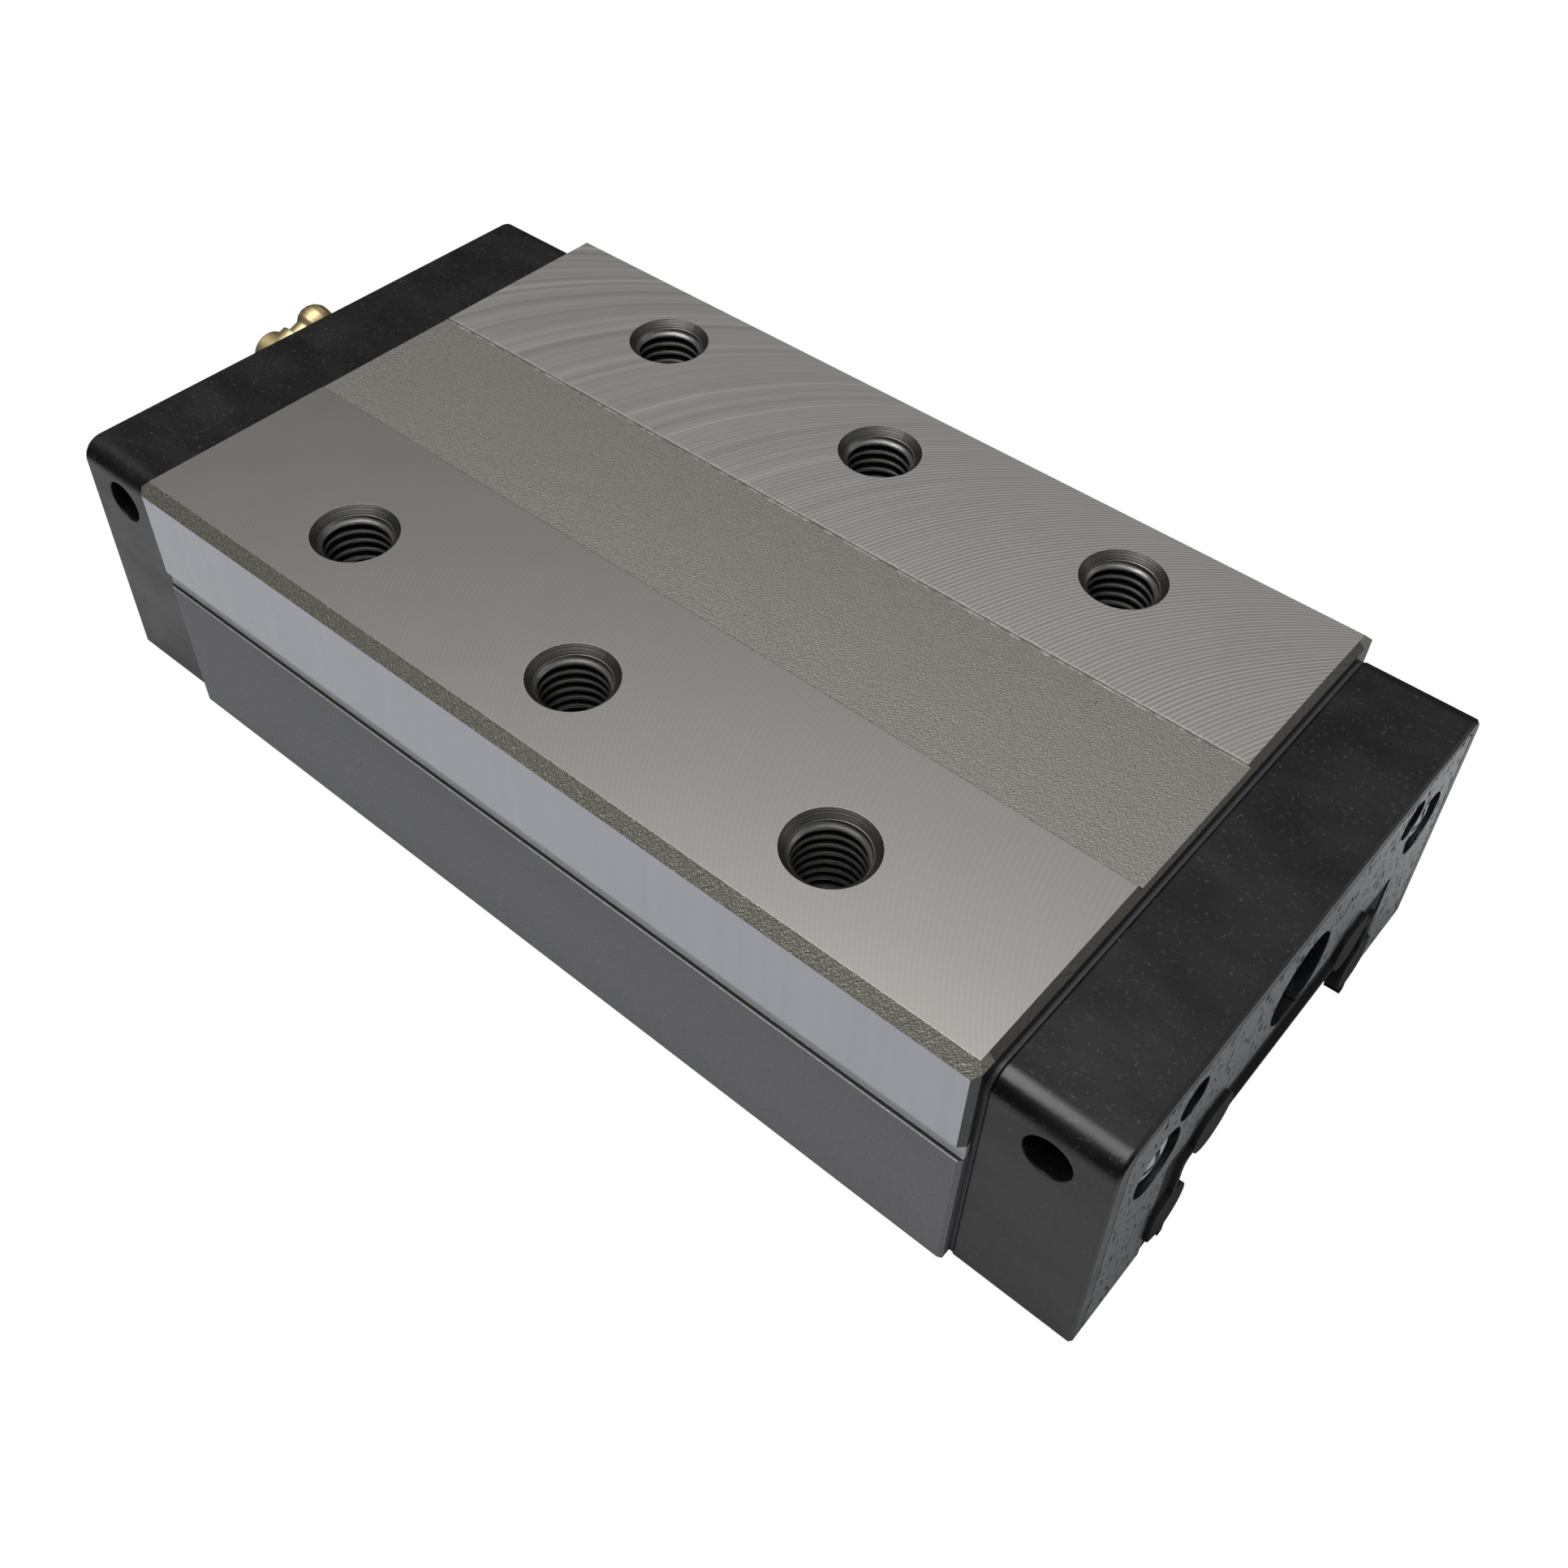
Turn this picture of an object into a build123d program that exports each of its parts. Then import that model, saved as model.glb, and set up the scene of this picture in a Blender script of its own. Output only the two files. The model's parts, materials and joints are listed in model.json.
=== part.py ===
"""Linear guide block for a 45 mm rail: a ball-bearing carriage with six tapped holes in its top face.

The origin is the centre of the hole pattern on the top mounting face. X runs across the block,
Y along the rail and Z up. The near end is at -Y, and the grease nipple stands on the far end, at +Y.
Left is -X. Everything is in millimetres.
"""
from build123d import *
import itertools
import math
import os

# Steel body
body_length = 138.8
body_width = 86.0
body_height = 41.0
top_chamfer = 1.6
bottom_chamfer = 0.4
end_edge_chamfer = 0.8
end_top_bevel = 0.9
blasted_strip_width = 24.0
blasted_strip_depth = 0.4

# Ground datum band on each long side, and the relief groove under it
band_bottom_z = -15.0
side_groove_height = 3.2
side_groove_depth = 0.9
lower_side_inset = 0.3

# Tapped mounting holes in the top face
hole_pitch_x = 60.0
hole_pitch_y = 40.0
hole_rows = 3
thread_radius = 5.0
thread_depth = 17.0
hole_mouth_radius = 5.9
drill_point_height = 2.4

# The rail that the block runs on, which is not part of the block
rail_half_width = 22.5
rail_top_above_bottom = 16.4

# Balls and their four circuits
ball_radius = 3.969
balls_per_circuit = 39
ball_centre_off_rail = 1.1
upper_row_x = 16.75
lower_row_above_bottom = 6.4
race_radius = 4.13
race_clearance = 0.02
lower_contact_angle = 30.0
turn_radius = 6.0
passage_radius = 4.25
lower_turn_tilt = 15.0

# Channel walls and the strips that keep the balls in
channel_clearance = 1.8
channel_corner_radius = 0.8
retainer_clearance = 0.25
retainer_ball_gap = 0.03
retainer_ledge_width = 2.0
retainer_side_width = 3.6

# Side seals under the legs
side_seal_thickness = 1.4
side_seal_width = 6.5
side_seal_inset = 0.2
side_seal_lip_clearance = 0.1

# Return plate between steel and cap
return_plate_thickness = 0.6
return_plate_inset = 0.15

# End caps
cap_length = 15.5
cap_end_lean = 1.2
cap_width = 82.6
cap_top_z = -2.1
cap_above_bottom = 0.3
cap_top_fillet = 3.0
cap_bottom_fillet = 0.5
cap_end_chamfer = 0.35
cap_inner_chamfer = 0.2
cap_channel_clearance = 0.9
guide_clearance = 0.05
guide_seat_depth = 0.8

# Grease ports and grooves in the caps
grease_axis_z = -14.0
port_radius = 4.87
port_depth = 9.0
port_relief_radius = 6.0
port_relief_depth = 1.2
grease_hole_radius = 1.5
grease_groove_width = 1.5
grease_groove_depth = 0.8
grease_groove_z = -17.8
grease_groove_turn_x = 29.0
side_port_radius = 3.1
side_port_depth = 5.0
side_port_pilot_radius = 1.6
side_port_pilot_depth = 2.5
side_port_distance = 8.5
side_port_z = -8.55

# Small core holes beside the cap screws
core_hole_x = 25.4
core_hole_z = -8.5
core_hole_radius = 2.8
core_hole_depth = 6.0

# End seals
seal_thickness = 1.8
seal_width = 77.8
seal_top_z = -3.4
seal_top_bow = 0.7
seal_bottom_gap = 0.3
seal_corner_radius = 1.8
seal_pocket_gap = 0.2
seal_mouth_half_width = 26.9
seal_mouth_above_rail = 4.4
seal_mouth_fillet = 1.0
seal_centre_hole_radius = 6.4
lip_gap = 0.1
lip_thickness = 1.6
lip_bead_width = 1.0
lip_bead_height = 0.7
lip_corner_radius = 1.5

# Cap screws
screw_x = 31.2
screw_z = -13.9
screw_radius = 2.0
screw_hole_gap = 0.02
screw_clearance_radius = 2.25
screw_head_radius = 3.6
screw_head_height = 2.6
screw_head_recess = 0.3
screw_head_edge = 0.8
screw_well_radius = 4.5
screw_grip = 8.0
screw_tap_depth = 10.0
cross_length = 4.4
cross_width = 1.0
cross_depth = 1.2

# Grease nipple on the far end
nipple_thread_length = 8.0
nipple_thread_gap = 0.02
nipple_hex_across_flats = 10.0
nipple_hex_length = 4.0
nipple_body_radius = 3.3
nipple_arm_radius = 3.1
nipple_elbow_end = 3.6
nipple_elbow_chamfer = 0.8
nipple_reach = 11.5
nipple_arm_length = 3.6
nipple_arm_angle = 20.0
nipple_socket_radius = 2.0
nipple_socket_depth = 2.8
nipple_neck_radius = 2.3
nipple_head_distance = 7.9
nipple_head_radius = 3.1
nipple_tip_length = 2.6
nipple_ball_strips = 5
nipple_bore_radius = 1.25
nipple_mouth_radius = 0.8
nipple_mouth_length = 1.4
nipple_bore_floor = 1.26
check_ball_radius = 1.2
check_ball_gap = 0.02
spring_wire = 0.26
spring_turns = 4
spring_radial_gap = 0.1

# How far a cutting shape runs past the face that it opens
cut_margin = 10.0

# Places worked out from the sizes above
half_length = body_length / 2
half_width = body_width / 2
rail_top_z = -body_height + rail_top_above_bottom
lower_row_z = -body_height + lower_row_above_bottom
cap_bottom_z = -body_height + cap_above_bottom
seal_mouth_top_z = rail_top_z + seal_mouth_above_rail
upper_row_z = rail_top_z + ball_centre_off_rail
lower_row_x = rail_half_width + ball_centre_off_rail
channel_top_z = rail_top_z + channel_clearance
channel_half_width = rail_half_width + channel_clearance
turn_start = return_plate_thickness
cap_end = return_plate_thickness + cap_length
seal_seat = cap_end - seal_thickness
screw_head_top = cap_end - screw_head_recess
screw_seat = screw_head_top - screw_head_height
beyond_cap = cap_end + cut_margin
lean_angle = math.degrees(math.atan2(cap_end_lean, cap_top_z - cap_bottom_z))
row_pitch = 2 * turn_radius
tilt = math.radians(lower_turn_tilt)

sides = {"left": -1, "right": 1}
hole_centres = [
    (side * hole_pitch_x / 2, (row - (hole_rows - 1) / 2) * hole_pitch_y)
    for side in sides.values()
    for row in range(hole_rows)
]


def loaded_row(level, side):
    """Cross-section place (x, z) of a row of balls that carries load."""
    if level == "upper":
        return side * upper_row_x, upper_row_z
    return side * lower_row_x, lower_row_z


def return_row(level, side):
    """Cross-section place (x, z) of the bore that brings the same balls back."""
    x, z = loaded_row(level, side)
    if level == "upper":
        return x, z + row_pitch
    return x + side * row_pitch * math.cos(tilt), z + row_pitch * math.sin(tilt)


circuits = [(level, name, side) for level in ("upper", "lower") for name, side in sides.items()]


def between(x0, x1, z0, z1):
    """Rectangle in the cross-section, by its limits across and up."""
    return Pos((x0 + x1) / 2, (z0 + z1) / 2) * Rectangle(abs(x1 - x0), abs(z1 - z0))


def along_body(section):
    """Section drawn in X and Z, run along the whole steel body."""
    return extrude(Plane.XZ * section, amount=half_length, both=True)


def at_near_end(section, start, end):
    """Section run outwards from the near end face of the steel, between two distances from it."""
    return extrude(Plane.XZ.offset(half_length + start) * section, amount=end - start)


def leaning(shape):
    """The same piece of the near end tipped about the top of the end face, so that its foot stands farther out."""
    pivot = Pos(0, -half_length - cap_end, cap_top_z)
    return pivot * Rot(-lean_angle, 0, 0) * pivot.inverse() * shape


def to_far_end(shape):
    """The same piece turned half a turn about Z, onto the far end."""
    return Rot(0, 0, 180) * shape


def mirrored(section):
    """A section of the right half, with its mirror image on the left."""
    return section + mirror(section, about=Plane.YZ)


def discs(places, radius):
    """Equal circles at cross-section places."""
    return Sketch() + [Pos(x, z) * Circle(radius) for x, z in places]


loaded_places = [loaded_row(level, side) for level, name, side in circuits]
return_places = [return_row(level, side) for level, name, side in circuits]
screw_places = [(side * screw_x, screw_z) for side in sides.values()]
core_hole_places = [(side * core_hole_x, core_hole_z) for side in sides.values()]


def rail_space(clearance, corner_radius=0.0):
    """Section of the space that a piece leaves for the rail, wider than the rail by a clearance."""
    half = rail_half_width + clearance
    channel = between(-half, half, -body_height - cut_margin, rail_top_z + clearance)
    if corner_radius:
        channel = fillet(channel.vertices().group_by(Axis.Y)[-1], corner_radius)
    return channel - discs(loaded_places, race_radius - clearance)


def race_centres():
    """Centres of the steel raceways, set so that each ball meets its race at the contact angle."""
    offset = race_radius - ball_radius - race_clearance
    angle = math.radians(lower_contact_angle)
    centres = []
    for level, name, side in circuits:
        x, z = loaded_row(level, side)
        if level == "upper":
            centres.append((x, z - offset))
        else:
            centres.append((x - side * offset * math.cos(angle), z + offset * math.sin(angle)))
    return centres


def body_section():
    """Right half of the steel's outside, from the middle of the blasted strip to the leg's bottom."""
    lower_x = half_width - lower_side_inset
    groove_x = half_width - side_groove_depth
    groove_bottom_z = band_bottom_z - side_groove_height
    outline = Polyline(
        (0, -blasted_strip_depth),
        (blasted_strip_width / 2, -blasted_strip_depth),
        (blasted_strip_width / 2, 0),
        (half_width - top_chamfer, 0),
        (half_width, -top_chamfer),
        (half_width, band_bottom_z),
        (groove_x, band_bottom_z - side_groove_depth),
        (groove_x, groove_bottom_z + side_groove_depth - lower_side_inset),
        (lower_x, groove_bottom_z),
        (lower_x, -body_height + bottom_chamfer),
        (lower_x - bottom_chamfer, -body_height),
        (0, -body_height),
        close=True,
    )
    return make_face(outline)


def channel_section():
    """Section cut from the steel for the rail, the raceways and the side seals."""
    channel = between(-channel_half_width, channel_half_width, -body_height - cut_margin, channel_top_z)
    channel = fillet(channel.vertices().group_by(Axis.Y)[-1], channel_corner_radius)
    rebate_half = channel_half_width + side_seal_width
    rebate_top_z = -body_height + side_seal_inset + side_seal_thickness
    rebate = between(-rebate_half, rebate_half, -body_height - cut_margin, rebate_top_z)
    return channel + rebate + discs(race_centres(), race_radius)


def mounting_hole():
    """One tapped hole with its countersunk mouth and drill point, below the origin."""
    profile = Polyline(
        (0, 1),
        (hole_mouth_radius, 1),
        (hole_mouth_radius, 0),
        (thread_radius, thread_radius - hole_mouth_radius),
        (thread_radius, -thread_depth),
        (0, -thread_depth - drill_point_height),
        close=True,
    )
    return revolve(Plane.XZ * make_face(profile), Axis.Z)


def make_steel_body():
    plan = chamfer(Rectangle(body_width, body_length).vertices(), end_edge_chamfer)
    side_view = Pos(0, -body_height / 2) * Rectangle(body_length, body_height)
    side_view = chamfer(side_view.vertices().group_by(Axis.Y)[-1], end_top_bevel)
    body = along_body(mirrored(body_section()))
    body &= extrude(plan, amount=-body_height)
    body &= extrude(Plane.YZ * side_view, amount=half_width, both=True)
    body -= along_body(channel_section())
    body -= along_body(discs(return_places, passage_radius))
    taps = at_near_end(discs(screw_places, screw_radius + screw_hole_gap), -screw_tap_depth, 0)
    body -= [taps, to_far_end(taps)]
    return body - [Pos(x, y, 0) * mounting_hole() for x, y in hole_centres]


def turn_plane(level, side):
    """Plane of one ball turn: its x points from the loaded row to the return bore, its y outwards."""
    x0, z0 = loaded_row(level, side)
    x1, z1 = return_row(level, side)
    across = Vector(x1 - x0, 0, z1 - z0).normalized()
    centre = ((x0 + x1) / 2, -half_length - turn_start, (z0 + z1) / 2)
    return Plane(origin=centre, x_dir=across, z_dir=across.cross(Vector(0, -1, 0)))


def half_disc(radius, width):
    """Half of a disc, on the outward side of its axis."""
    return Cylinder(radius, width, arc_size=180, align=(Align.NONE, Align.NONE, Align.CENTER))


def make_return_guide(level, side):
    """Half-round bar that the balls roll round on the inside of a turn, seated in the cap at both ends."""
    radius = turn_radius - passage_radius
    return turn_plane(level, side) * half_disc(radius, 2 * (passage_radius + guide_seat_depth))


def turn_cavity(level, side):
    """Slot in the cap for one turn of balls, with the seats of its return guide."""
    slot = half_disc(turn_radius + passage_radius, 2 * passage_radius)
    seat_radius = turn_radius - passage_radius + guide_clearance
    seats = half_disc(seat_radius, 2 * (passage_radius + guide_seat_depth + guide_clearance))
    return turn_plane(level, side) * (slot + seats)


def cap_outline(inset=0.0):
    """Outside of a cap's cross-section, with rounded corners, drawn in by an inset."""
    half = cap_width / 2 - inset
    outline = between(-half, half, cap_bottom_z + inset, cap_top_z - inset)
    outline = fillet(outline.vertices().group_by(Axis.Y)[-1], cap_top_fillet - inset)
    corners = outline.vertices().group_by(Axis.Y)[0]
    return fillet(corners, max(cap_bottom_fillet - inset, 0.2))


def make_return_plate():
    section = cap_outline(return_plate_inset) - rail_space(cap_channel_clearance)
    section -= discs(loaded_places + return_places, passage_radius)
    section -= discs(screw_places, screw_clearance_radius)
    return at_near_end(section, 0, return_plate_thickness)


def seal_outline(gap=0.0):
    """Outside of an end seal: straight sides and a top edge that dips a little in the middle."""
    half = seal_width / 2 + gap
    top = seal_top_z + gap
    bottom = cap_bottom_z + seal_bottom_gap
    outline = make_face(
        Polyline((half, top), (half, bottom), (-half, bottom), (-half, top))
        + ThreePointArc((-half, top), (0, top - seal_top_bow), (half, top))
    )
    return fillet(outline.vertices().group_by(Axis.Y)[-1], seal_corner_radius)


def seal_mouth(gap=0.0):
    """Mouth of the end seal around the rail, open at the bottom."""
    half = seal_mouth_half_width + gap
    mouth = between(-half, half, -body_height - cut_margin, seal_mouth_top_z + gap)
    return fillet(mouth.vertices().group_by(Axis.Y)[-1], seal_mouth_fillet + gap)


def grease_grooves():
    """Grooves in the cap's inner face that lead grease from the port to all four turns."""
    half = grease_groove_width / 2
    reach = grease_groove_turn_x + half
    low_z = loaded_row("lower", 1)[1]
    grooves = between(-half, half, grease_groove_z, grease_axis_z)
    grooves += between(-reach, reach, grease_groove_z - half, grease_groove_z + half)
    for side in sides.values():
        x = side * grease_groove_turn_x
        grooves += between(x - half, x + half, low_z, grease_groove_z)
    return grooves


def side_port(side):
    """Blind side port of a cap, with a smaller pilot that is drilled through when the port is used."""
    centre = Plane(
        origin=(side * cap_width / 2, -half_length - side_port_distance, side_port_z),
        z_dir=(-side, 0, 0),
    )
    port = extrude(centre * Circle(side_port_radius), amount=side_port_depth)
    pilot_depth = side_port_depth + side_port_pilot_depth
    return port + extrude(centre * Circle(side_port_pilot_radius), amount=pilot_depth)


def make_end_cap():
    cap = at_near_end(cap_outline(), turn_start, beyond_cap)
    outside = Rectangle(2 * body_width, 4 * body_height)
    cap -= leaning(at_near_end(outside, cap_end, cap_end + 2 * cut_margin))
    end_faces = cap.faces().filter_by(GeomType.PLANE).sort_by(Axis.Y)
    cap = chamfer(end_faces[-1].edges(), cap_inner_chamfer)
    end_faces = cap.faces().filter_by(GeomType.PLANE).sort_by(Axis.Y)
    cap = chamfer(end_faces[0].edges(), cap_end_chamfer)
    cap -= at_near_end(rail_space(cap_channel_clearance), turn_start, beyond_cap)
    pocket = seal_outline(seal_pocket_gap)
    below = between(-seal_width / 2 - seal_pocket_gap, seal_width / 2 + seal_pocket_gap,
                    cap_bottom_z - 1, cap_bottom_z + 1)
    cap -= leaning(at_near_end(pocket + below, seal_seat, beyond_cap))
    cap -= [turn_cavity(level, side) for level, name, side in circuits]
    cap -= at_near_end(discs(screw_places, screw_clearance_radius), turn_start, beyond_cap)
    cap -= at_near_end(discs(screw_places, screw_well_radius), screw_seat, beyond_cap)
    cap -= at_near_end(discs(core_hole_places, core_hole_radius), seal_seat - core_hole_depth, beyond_cap)
    port = [(0, grease_axis_z)]
    cap -= at_near_end(discs(port, port_radius), seal_seat - port_depth, beyond_cap)
    cap -= at_near_end(discs(port, port_relief_radius), seal_seat - port_relief_depth, beyond_cap)
    cap -= at_near_end(discs(port, grease_hole_radius), turn_start, beyond_cap)
    cap -= at_near_end(grease_grooves(), turn_start, turn_start + grease_groove_depth)
    return cap - [side_port(side) for side in sides.values()]


def make_end_seal():
    """Seal plate with its holes and the mouth that carries the lip."""
    plate = seal_outline() - seal_mouth()
    plate -= discs(screw_places, screw_well_radius)
    plate -= discs(core_hole_places, core_hole_radius)
    plate -= discs([(0, grease_axis_z)], seal_centre_hole_radius)
    return leaning(at_near_end(plate, seal_seat, cap_end))


def make_seal_lip():
    """Rubber lip in the seal's mouth, with a bead along the edge that wipes the rail."""
    floor = between(-seal_width, seal_width, cap_bottom_z + seal_bottom_gap, 0)
    inside = (seal_mouth(-lip_gap) & floor) - discs([(0, grease_axis_z)], seal_centre_hole_radius)
    lip = inside - rail_space(0, lip_corner_radius)
    bead = lip & rail_space(lip_bead_width)
    bead += lip & discs(loaded_places, race_radius)
    lip_solid = at_near_end(lip, seal_seat, seal_seat + lip_thickness)
    return leaning(lip_solid + at_near_end(bead, seal_seat, seal_seat + lip_thickness + lip_bead_height))


def make_end_screw(place):
    """Pan head screw with a cross recess, through the cap and into the steel."""
    x, z = place
    head = at_near_end(Pos(x, z) * Circle(screw_head_radius), screw_seat, screw_head_top)
    head = chamfer(head.faces().sort_by(Axis.Y)[0].edges(), screw_head_edge)
    shank = at_near_end(Pos(x, z) * Circle(screw_radius), -screw_grip, screw_seat)
    cross = Rectangle(cross_length, cross_width) + Rectangle(cross_width, cross_length)
    recess = at_near_end(Pos(x, z) * cross, screw_head_top - cross_depth, screw_head_top)
    return head + shank - recess


def make_side_retainer(side):
    """Strip in a channel corner that keeps the upper row in on its outside and the lower row from above."""
    face_x = rail_half_width + retainer_clearance
    face_z = rail_top_z + retainer_clearance
    top_leg = between(channel_half_width - retainer_side_width, channel_half_width, face_z, channel_top_z)
    side_leg = between(face_x, channel_half_width, lower_row_z + ball_radius / 2, channel_top_z)
    strip = top_leg + side_leg
    outer_corner = strip.vertices().group_by(Axis.X)[-1].sort_by(Axis.Y)[-1]
    strip = fillet(outer_corner, channel_corner_radius)
    strip -= discs([loaded_row("upper", 1), loaded_row("lower", 1)], ball_radius + retainer_ball_gap)
    solid = along_body(strip)
    return solid if side > 0 else mirror(solid, about=Plane.YZ)


def make_centre_retainer():
    """Strip under the channel's ceiling that keeps both upper rows in on their inside."""
    half = upper_row_x - ball_radius + retainer_ledge_width
    strip = between(-half, half, rail_top_z + retainer_clearance, channel_top_z)
    rows = [loaded_row("upper", side) for side in sides.values()]
    strip -= discs(rows, ball_radius + retainer_ball_gap)
    return along_body(strip.faces().sort_by(SortBy.AREA)[-1])


def make_side_seal(side):
    """Strip in the rebate under a leg, with an upright edge that keeps the lower row in from below."""
    bottom_z = -body_height + side_seal_inset
    top_z = bottom_z + side_seal_thickness
    lip_x = rail_half_width + side_seal_lip_clearance
    ledge_x = rail_half_width + retainer_clearance
    flat = between(lip_x, channel_half_width + side_seal_width, bottom_z, top_z)
    ledge = between(ledge_x, channel_half_width, top_z, lower_row_z - ball_radius / 2)
    row = discs([loaded_row("lower", 1)], ball_radius + retainer_ball_gap)
    solid = along_body(flat + (ledge - row))
    return solid if side > 0 else mirror(solid, about=Plane.YZ)


def faceted_ball(radius):
    """Ball drawn as an icosahedron, so that a full complement stays light. Its corners lie on the true ball."""
    golden = (1 + math.sqrt(5)) / 2
    scale = radius / math.hypot(1, golden)
    near = [(0, a, b * golden) for a in (-1, 1) for b in (-1, 1)]
    corners = [Vector(*(p[i - turn] for i in range(3))) * scale for turn in range(3) for p in near]
    touching = 2.1 * scale
    faces = [
        Face(Wire.make_polygon(three))
        for three in itertools.combinations(corners, 3)
        if all((a - b).length < touching for a, b in itertools.combinations(three, 2))
    ]
    return Solid(Shell(faces))


def circuit_place(level, side, distance):
    """Point at a distance along a circuit's centre line, which starts at the near end of the loaded row."""
    straight = body_length + 2 * turn_start
    bend = math.pi * turn_radius
    x0, z0 = loaded_row(level, side)
    x1, z1 = return_row(level, side)
    end_y = straight / 2
    if distance < straight:
        return x0, distance - end_y, z0
    distance -= straight
    if distance < bend:
        share, y = circle_share(distance), end_y + turn_radius * math.sin(distance / turn_radius)
        return x0 + (x1 - x0) * share, y, z0 + (z1 - z0) * share
    distance -= bend
    if distance < straight:
        return x1, end_y - distance, z1
    distance -= straight
    share, y = circle_share(distance), -end_y - turn_radius * math.sin(distance / turn_radius)
    return x1 + (x0 - x1) * share, y, z1 + (z0 - z1) * share


def circle_share(distance):
    """How far across a turn, from 0 to 1, a ball has come after a distance round it."""
    return (1 - math.cos(distance / turn_radius)) / 2


def make_balls(level, side):
    """All balls of one circuit, evenly spaced round it."""
    length = 2 * (body_length + 2 * turn_start) + 2 * math.pi * turn_radius
    ball = faceted_ball(ball_radius)
    places = [circuit_place(level, side, i * length / balls_per_circuit) for i in range(balls_per_circuit)]
    return Compound([Pos(*place) * ball for place in places])


# The nipple is drawn on two axes: the port's axis, outwards along +Y, and its arm's axis
nipple_elbow_y = half_length + cap_end + nipple_reach
arm_angle = math.radians(nipple_arm_angle)
arm_direction = Vector(math.cos(arm_angle), 0, math.sin(arm_angle))
arm_plane = Plane(origin=(0, nipple_elbow_y, grease_axis_z), x_dir=(0, 1, 0), z_dir=arm_direction)
mouth_start = nipple_head_distance + nipple_tip_length - nipple_mouth_length
ball_seat_back = math.sqrt(check_ball_radius ** 2 - nipple_mouth_radius ** 2)
check_ball_distance = mouth_start - ball_seat_back - check_ball_gap
spring_start = nipple_arm_length - nipple_socket_depth + nipple_bore_floor


def port_rod(section, start, end):
    """Section run along the far port's axis, between two distances from the steel's far end face."""
    plane = Plane(origin=(0, half_length + start, grease_axis_z), x_dir=(-1, 0, 0), z_dir=(0, 1, 0))
    return extrude(plane * section, amount=end - start)


def arm_rod(section, start, end):
    """Section run along the nipple arm's axis, between two distances from the elbow's centre."""
    return extrude(arm_plane.offset(start) * section, amount=end - start)


def make_nipple_elbow():
    """Elbow body: threaded stub, hexagon, round neck and a short arm with a socket for the head."""
    stub_start = seal_seat - nipple_thread_length
    hexagon = RegularPolygon(nipple_hex_across_flats / 2, 6, major_radius=False)
    hex_end = seal_seat + nipple_hex_length
    elbow_distance = cap_end + nipple_reach
    elbow = port_rod(Circle(port_radius - nipple_thread_gap), stub_start, seal_seat)
    elbow += port_rod(hexagon, seal_seat, hex_end)
    neck = port_rod(Circle(nipple_body_radius), hex_end, elbow_distance + nipple_elbow_end)
    elbow += chamfer(neck.faces().sort_by(Axis.Y)[-1].edges(), nipple_elbow_chamfer)
    arm = arm_rod(Circle(nipple_arm_radius), -nipple_elbow_end, nipple_arm_length)
    elbow += chamfer(arm.faces().sort_by(Axis.X)[0].edges(), nipple_elbow_chamfer)
    socket_start = nipple_arm_length - nipple_socket_depth
    elbow -= arm_rod(Circle(nipple_socket_radius + screw_hole_gap), socket_start, nipple_arm_length)
    elbow -= arm_rod(Circle(nipple_mouth_radius), 0, nipple_arm_length)
    return elbow - port_rod(Circle(nipple_mouth_radius), stub_start, elbow_distance + nipple_mouth_radius)


def nipple_ball():
    """The head's ball, cut off flat at its tip and drawn with straight strips round the arm's axis."""
    end_angle = math.asin(nipple_tip_length / nipple_head_radius)
    start_angle = -math.acos(nipple_neck_radius / nipple_head_radius)
    step = (end_angle - start_angle) / nipple_ball_strips
    angles = [start_angle + i * step for i in range(nipple_ball_strips + 1)]
    points = [
        (nipple_head_radius * math.cos(angle), nipple_head_distance + nipple_head_radius * math.sin(angle))
        for angle in angles
    ]
    outline = Polyline((0, points[0][1]), *points, (0, points[-1][1]), close=True)
    return revolve(Plane.XZ * make_face(outline), Axis.Z)


def make_nipple_head():
    """Ball-shaped nipple head on its neck, bored for the check ball and its spring."""
    socket_start = nipple_arm_length - nipple_socket_depth
    tip = nipple_head_distance + nipple_tip_length
    head = arm_rod(Circle(nipple_socket_radius), socket_start, nipple_arm_length)
    head += arm_rod(Circle(nipple_neck_radius), nipple_arm_length, nipple_head_distance)
    head += arm_plane * nipple_ball()
    head -= arm_rod(Circle(nipple_bore_radius), spring_start, mouth_start)
    return head - arm_rod(Circle(nipple_mouth_radius), socket_start, tip)


def make_check_ball():
    return arm_plane.offset(check_ball_distance) * faceted_ball(check_ball_radius)


def make_nipple_spring():
    """Coil spring behind the check ball, of square wire."""
    coil_radius = nipple_bore_radius - spring_radial_gap - spring_wire / 2
    low = spring_start + spring_wire / 2
    height = check_ball_distance - check_ball_radius - spring_wire / 2 - low
    helix = Helix(pitch=height / spring_turns, height=height, radius=coil_radius)
    section = Plane(origin=helix @ 0, z_dir=helix % 0) * Rectangle(spring_wire, spring_wire)
    return arm_plane.offset(low) * sweep(section, path=helix, is_frenet=True)


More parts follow.
